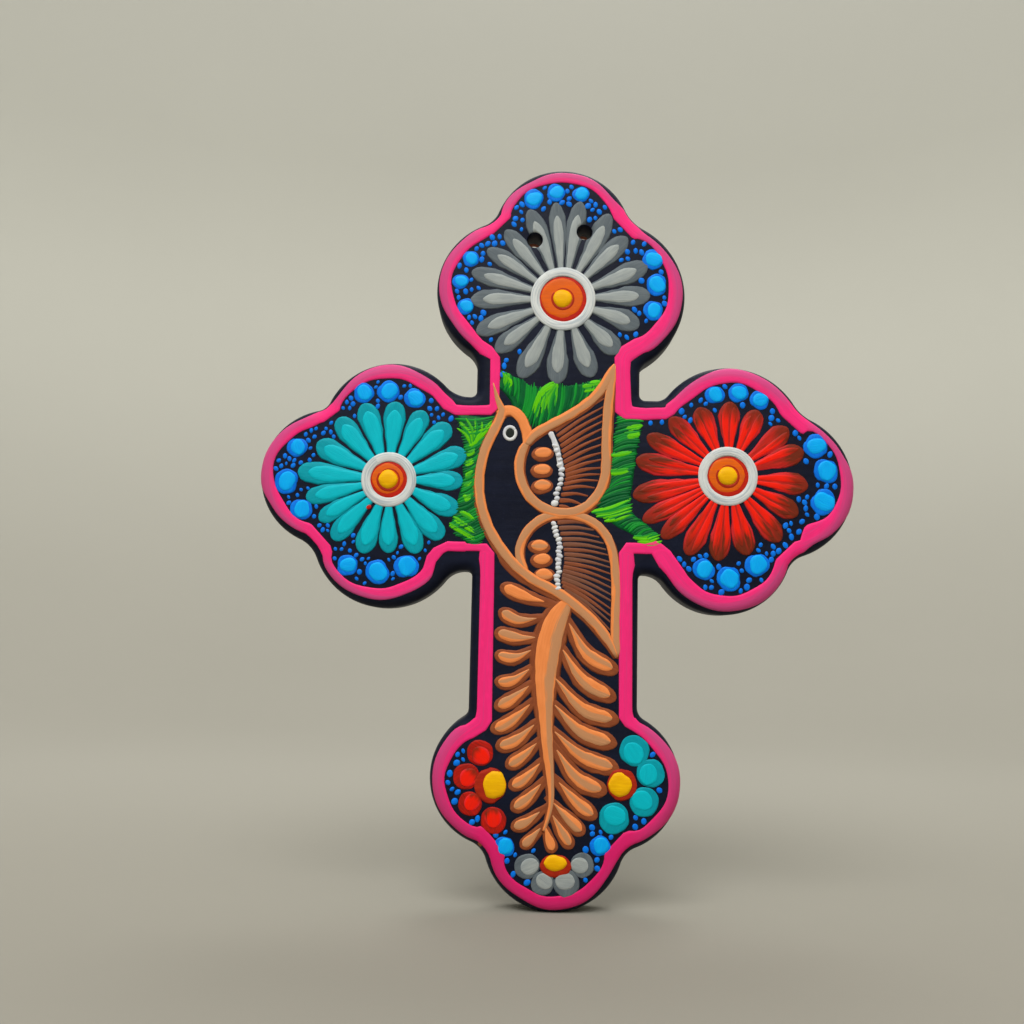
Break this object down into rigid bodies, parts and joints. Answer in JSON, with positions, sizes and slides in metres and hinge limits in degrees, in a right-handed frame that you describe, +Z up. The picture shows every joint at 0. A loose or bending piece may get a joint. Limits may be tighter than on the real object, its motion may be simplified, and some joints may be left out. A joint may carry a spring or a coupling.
{
  "type": "painted clay wall cross",
  "caption": "Flat hanging wall cross of fired clay with trefoil ends, rounded edges and hanging holes, painted with a folk pattern of daisies, leaves and a hummingbird.",
  "frame": {"origin": "on the flat back face, on the centreline, level with the middle of the two hanging holes", "axes": "+Z up the upright as it hangs, +Y out of the back into the wall, painted face towards -Y, +X to the viewer's right"},
  "size_m": [0.1611, 0.0117, 0.2012],
  "materials": {
    "dark_base_coat": "fired clay under a satin blue-black base coat, terracotta where bare",
    "border_pink": "thick satin acrylic paint with brush marks",
    "petal_grey": "satin acrylic paint with brush marks",
    "petal_light_grey": "satin acrylic paint with brush marks",
    "petal_teal": "satin acrylic paint with brush marks",
    "petal_light_teal": "satin acrylic paint with brush marks",
    "petal_brick": "satin acrylic paint with brush marks",
    "petal_red": "satin acrylic paint with brush marks",
    "centre_white": "satin acrylic paint laid in dabs",
    "centre_coral": "satin acrylic paint",
    "centre_maroon": "satin acrylic paint",
    "centre_yellow": "satin acrylic paint laid in small dots",
    "leaf_green": "satin acrylic paint in overlapping strokes",
    "bird_brown": "satin acrylic paint in single strokes",
    "bird_orange": "satin acrylic paint in single strokes",
    "dot_blue": "satin acrylic paint in domed dots"
  },
  "bodies": {
    "root": {"clay_slab": "dark_base_coat", "border_band": "border_pink", "top_daisy_petals": "petal_grey", "top_daisy_petal_gloss": "petal_light_grey", "top_daisy_ring": "centre_white", "top_daisy_disc": "centre_coral", "top_daisy_heart": "centre_maroon", "top_daisy_yolk": "centre_yellow", "left_daisy_petals": "petal_teal", "left_daisy_petal_gloss": "petal_light_teal", "left_daisy_ring": "centre_white", "left_daisy_disc": "centre_coral", "left_daisy_heart": "centre_maroon", "left_daisy_yolk": "centre_yellow", "right_daisy_petals": "petal_brick", "right_daisy_petal_gloss": "petal_red", "right_daisy_ring": "centre_white", "right_daisy_disc": "centre_coral", "right_daisy_heart": "centre_maroon", "right_daisy_yolk": "centre_yellow", "leaves_left": "leaf_green", "leaves_top": "leaf_green", "leaves_right": "leaf_green", "bird_brown_lines": "bird_brown", "bird_orange_lines": "bird_orange", "upper_wing_beads": "centre_white", "lower_wing_beads": "centre_white", "upper_wing_oval_1": "bird_orange", "upper_wing_oval_2": "bird_orange", "upper_wing_oval_3": "bird_orange", "lower_wing_oval_1": "bird_orange", "lower_wing_oval_2": "bird_orange", "lower_wing_oval_3": "bird_orange", "bird_eye_ring": "centre_white", "tail_brown_feathers": "bird_brown", "tail_orange_feathers": "bird_orange", "red_blossom_petals": "petal_red", "red_blossom_heart": "centre_maroon", "red_blossom_eye": "centre_yellow", "teal_blossom_petals": "petal_light_teal", "teal_blossom_heart": "centre_maroon", "teal_blossom_eye": "centre_yellow", "grey_blossom_petals": "petal_light_grey", "grey_blossom_heart": "centre_maroon", "grey_blossom_eye": "centre_yellow", "dots_top_tip": "dot_blue", "dots_top_left": "dot_blue", "dots_top_right": "dot_blue", "dots_left_tip": "dot_blue", "dots_left_upper": "dot_blue", "dots_left_lower": "dot_blue", "dots_right_tip": "dot_blue", "dots_right_upper": "dot_blue", "dots_right_lower": "dot_blue", "dot_bottom_left": "dot_blue", "dot_bottom_right": "dot_blue"}
  },
  "joints": []
}
